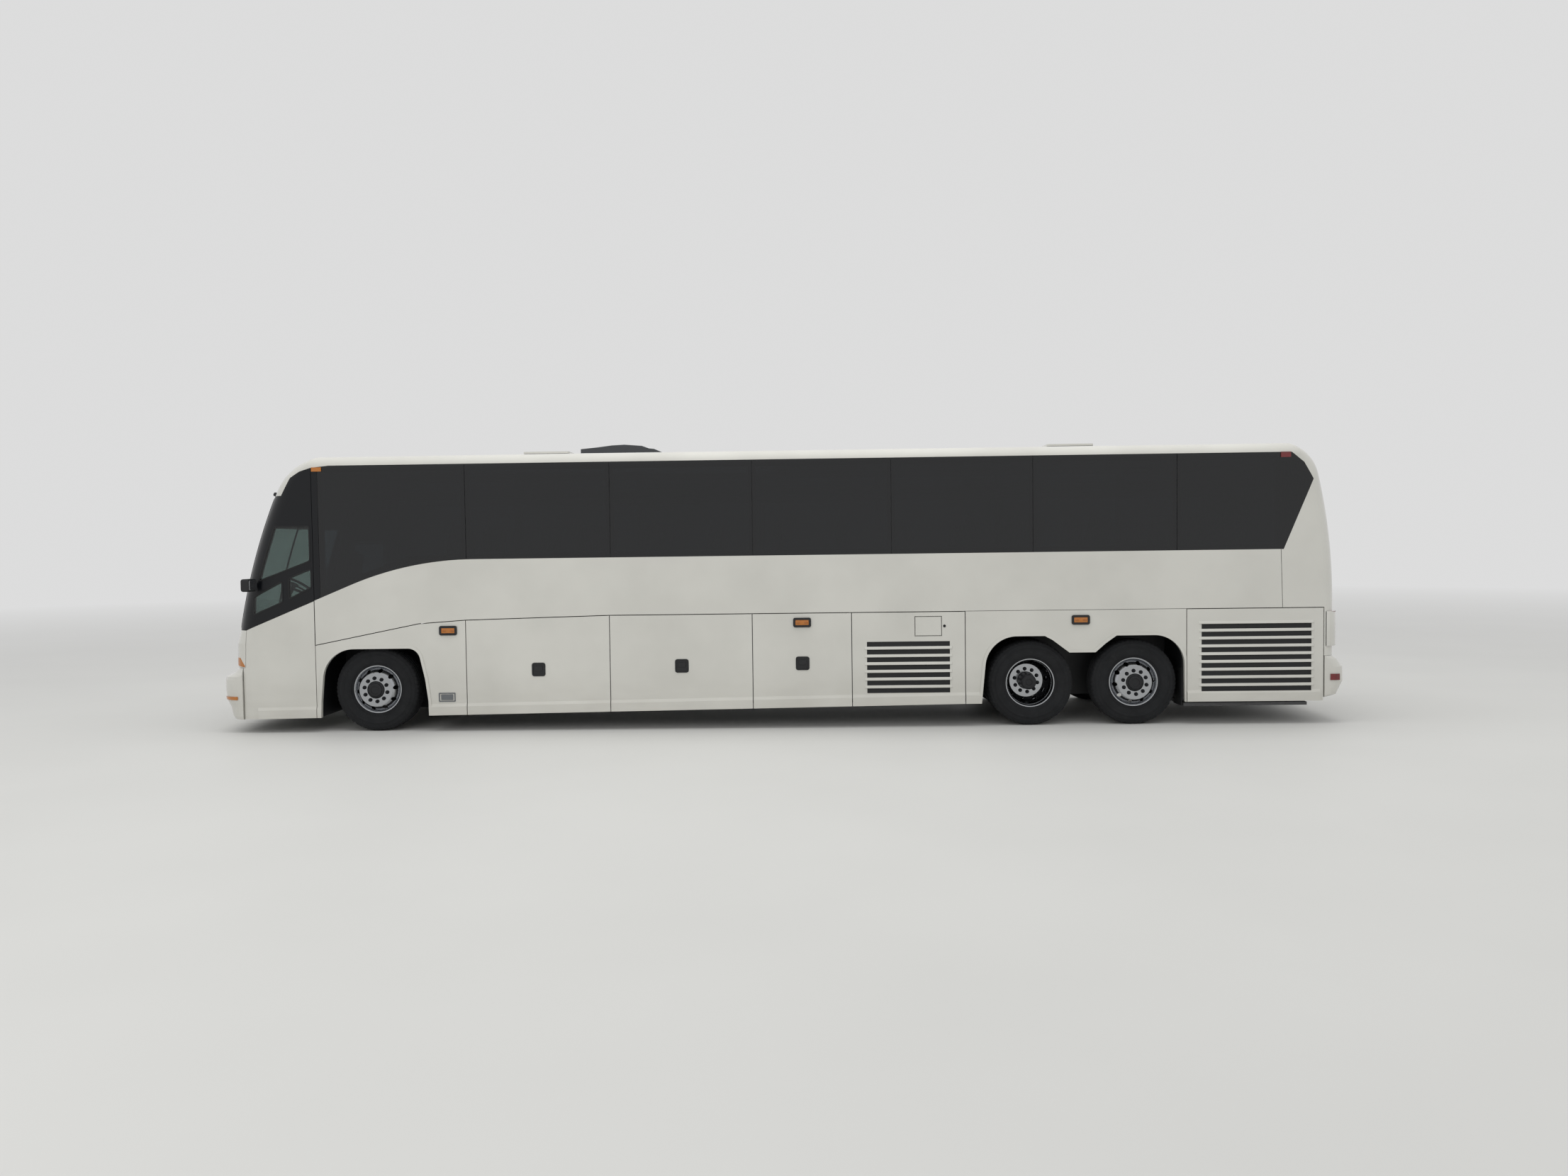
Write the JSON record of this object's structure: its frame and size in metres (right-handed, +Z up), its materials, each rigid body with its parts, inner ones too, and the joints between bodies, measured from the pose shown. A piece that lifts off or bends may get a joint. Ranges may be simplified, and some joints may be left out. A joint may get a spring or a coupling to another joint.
{
  "type": "touring coach",
  "caption": "Three-axle high-deck touring coach with steered front wheels, free-turning wheels, luggage flaps, service doors, an entrance door and roof hatches.",
  "frame": {"origin": "on the road, under the middle of the coach's overall box", "axes": "+X back along the coach from nose to tail, +Y to the coach's right, +Z up"},
  "size_m": [13.8398, 3.12, 3.55],
  "materials": {
    "body_paint": "gloss white",
    "frame_paint": "satin black",
    "band_glass": "dark tinted, gloss",
    "clear_glass": "light tint, gloss",
    "lens_clear": "clear moulded lens",
    "lens_red": "red moulded lens",
    "lens_amber": "amber moulded lens",
    "black_plastic": "satin black moulding",
    "floor": "floor covering",
    "seat_fabric": "woven",
    "wheel_alloy": "polished",
    "tyre": "matt",
    "axle_iron": "painted black",
    "engine_iron": "cast",
    "pod_plastic": "dark grey",
    "bellows": "matt"
  },
  "bodies": {
    "root": {"underframe": "frame_paint", "bulkheads": "frame_paint", "luggage_floor": "frame_paint", "wheel_wells": "black_plastic", "cabin_floor": "floor", "cab_floor": "floor", "side_walls": "body_paint", "lower_panels": "body_paint", "roof_shell": "body_paint", "front_cap": "body_paint", "rear_cap": "body_paint", "windshield": "clear_glass", "driver_window": "clear_glass", "side_glass": "band_glass", "front_bumper": "body_paint", "rear_bumper": "body_paint", "headlamps": "lens_clear", "tail_lamps": "lens_red", "marker_lamps": "lens_amber", "mirrors": "black_plastic", "dashboard": "black_plastic", "steering_wheel": "black_plastic", "driver_seat": "seat_fabric", "passenger_seats": "seat_fabric", "parcel_racks": "floor", "engine": "engine_iron", "front_axle": "axle_iron", "rear_axles": "axle_iron", "air_springs": "bellows", "roof_pod": "pod_plastic"},
    "knuckle_left": {"knuckle_left": "axle_iron"},
    "front_wheel_left": {"front_rim_left": "wheel_alloy", "front_tyre_left": "tyre"},
    "drive_wheel_left": {"drive_rims_left": "wheel_alloy", "drive_tyres_left": "tyre"},
    "tag_wheel_left": {"tag_rim_left": "wheel_alloy", "tag_tyre_left": "tyre"},
    "bay_door_left_1": {"bay_door_left_1": "body_paint"},
    "bay_door_left_2": {"bay_door_left_2": "body_paint"},
    "bay_door_left_3": {"bay_door_left_3": "body_paint"},
    "condenser_door_left": {"condenser_door_left": "body_paint"},
    "engine_side_door_left": {"engine_side_door_left": "body_paint"},
    "knuckle_right": {"knuckle_right": "axle_iron"},
    "front_wheel_right": {"front_rim_right": "wheel_alloy", "front_tyre_right": "tyre"},
    "drive_wheel_right": {"drive_rims_right": "wheel_alloy", "drive_tyres_right": "tyre"},
    "tag_wheel_right": {"tag_rim_right": "wheel_alloy", "tag_tyre_right": "tyre"},
    "bay_door_right_1": {"bay_door_right_1": "body_paint"},
    "bay_door_right_2": {"bay_door_right_2": "body_paint"},
    "bay_door_right_3": {"bay_door_right_3": "body_paint"},
    "condenser_door_right": {"condenser_door_right": "body_paint"},
    "engine_side_door_right": {"engine_side_door_right": "body_paint"},
    "filler_door": {"filler_door": "body_paint"},
    "entrance_door": {"entrance_door": "body_paint", "entrance_door_glass": "clear_glass"},
    "engine_door": {"engine_door": "body_paint"},
    "roof_hatch_front": {"roof_hatch_front": "body_paint"},
    "roof_hatch_rear": {"roof_hatch_rear": "body_paint"}
  },
  "joints": [
    {"name": "steer_left", "type": "hinge", "parent": "root", "child": "knuckle_left", "pos_m": [-4.885, -0.905, 0.515], "axis": [0, 0, 1], "range_deg": [-45, 45]},
    {"name": "front_wheel_spin_left", "type": "hinge", "parent": "knuckle_left", "child": "front_wheel_left", "pos_m": [-4.885, -1.08, 0.515], "axis": [0, 1, 0], "continuous": true},
    {"name": "drive_wheel_spin_left", "type": "hinge", "parent": "root", "child": "drive_wheel_left", "pos_m": [3.115, -0.91, 0.515], "axis": [0, 1, 0], "continuous": true},
    {"name": "tag_wheel_spin_left", "type": "hinge", "parent": "root", "child": "tag_wheel_left", "pos_m": [4.362, -1.08, 0.515], "axis": [0, 1, 0], "continuous": true},
    {"name": "bay_door_left_1_hinge", "type": "hinge", "parent": "root", "child": "bay_door_left_1", "pos_m": [-2.8691, -1.295, 1.3805], "axis": [-0.9998, 0, -0.0221], "range_deg": [0, 90]},
    {"name": "bay_door_left_2_hinge", "type": "hinge", "parent": "root", "child": "bay_door_left_2", "pos_m": [-1.11974, -1.295, 1.4], "axis": [-1, 0, 0], "range_deg": [0, 90]},
    {"name": "bay_door_left_3_hinge", "type": "hinge", "parent": "root", "child": "bay_door_left_3", "pos_m": [0.35035, -1.295, 1.4], "axis": [-1, 0, 0], "range_deg": [0, 90]},
    {"name": "condenser_door_left_hinge", "type": "hinge", "parent": "root", "child": "condenser_door_left", "pos_m": [1.63649, -1.295, 1.4], "axis": [-1, 0, 0], "range_deg": [0, 90]},
    {"name": "engine_side_door_left_hinge", "type": "hinge", "parent": "root", "child": "engine_side_door_left", "pos_m": [5.788, -1.295, 1.4], "axis": [-1, 0, 0], "range_deg": [0, 90]},
    {"name": "steer_right", "type": "hinge", "parent": "root", "child": "knuckle_right", "pos_m": [-4.885, 0.905, 0.515], "axis": [0, 0, 1], "range_deg": [-45, 45]},
    {"name": "front_wheel_spin_right", "type": "hinge", "parent": "knuckle_right", "child": "front_wheel_right", "pos_m": [-4.885, 1.08, 0.515], "axis": [0, 1, 0], "continuous": true},
    {"name": "drive_wheel_spin_right", "type": "hinge", "parent": "root", "child": "drive_wheel_right", "pos_m": [3.115, 0.91, 0.515], "axis": [0, 1, 0], "continuous": true},
    {"name": "tag_wheel_spin_right", "type": "hinge", "parent": "root", "child": "tag_wheel_right", "pos_m": [4.362, 1.08, 0.515], "axis": [0, 1, 0], "continuous": true},
    {"name": "bay_door_right_1_hinge", "type": "hinge", "parent": "root", "child": "bay_door_right_1", "pos_m": [-2.8691, 1.295, 1.3805], "axis": [0.9998, 0, 0.0221], "range_deg": [0, 90]},
    {"name": "bay_door_right_2_hinge", "type": "hinge", "parent": "root", "child": "bay_door_right_2", "pos_m": [-1.11974, 1.295, 1.4], "axis": [1, 0, 0], "range_deg": [0, 90]},
    {"name": "bay_door_right_3_hinge", "type": "hinge", "parent": "root", "child": "bay_door_right_3", "pos_m": [0.35035, 1.295, 1.4], "axis": [1, 0, 0], "range_deg": [0, 90]},
    {"name": "condenser_door_right_hinge", "type": "hinge", "parent": "root", "child": "condenser_door_right", "pos_m": [1.63649, 1.295, 1.4], "axis": [1, 0, 0], "range_deg": [0, 90]},
    {"name": "engine_side_door_right_hinge", "type": "hinge", "parent": "root", "child": "engine_side_door_right", "pos_m": [5.788, 1.295, 1.4], "axis": [1, 0, 0], "range_deg": [0, 90]},
    {"name": "filler_door_hinge", "type": "hinge", "parent": "condenser_door_left", "child": "filler_door", "pos_m": [1.716, -1.295, 1.226], "axis": [0, 0, -1], "range_deg": [0, 90]},
    {"name": "entrance_door_hinge", "type": "hinge", "parent": "root", "child": "entrance_door", "pos_m": [-6.455, 1.291, 1.3], "axis": [0, 0, 1], "range_deg": [0, 90]},
    {"name": "engine_door_hinge", "type": "hinge", "parent": "root", "child": "engine_door", "pos_m": [6.789, 0, 1.385], "axis": [0, -1, 0], "range_deg": [0, 80]},
    {"name": "roof_hatch_front_hinge", "type": "hinge", "parent": "root", "child": "roof_hatch_front", "pos_m": [-3.245, 0, 3.4503], "axis": [0, -1, 0], "range_deg": [0, 75]},
    {"name": "roof_hatch_rear_hinge", "type": "hinge", "parent": "root", "child": "roof_hatch_rear", "pos_m": [3.515, 0, 3.4503], "axis": [0, -1, 0], "range_deg": [0, 75]}
  ],
  "couplings": [
    {"joint": "steer_right", "follows": "steer_left", "ratio": 1}
  ]
}
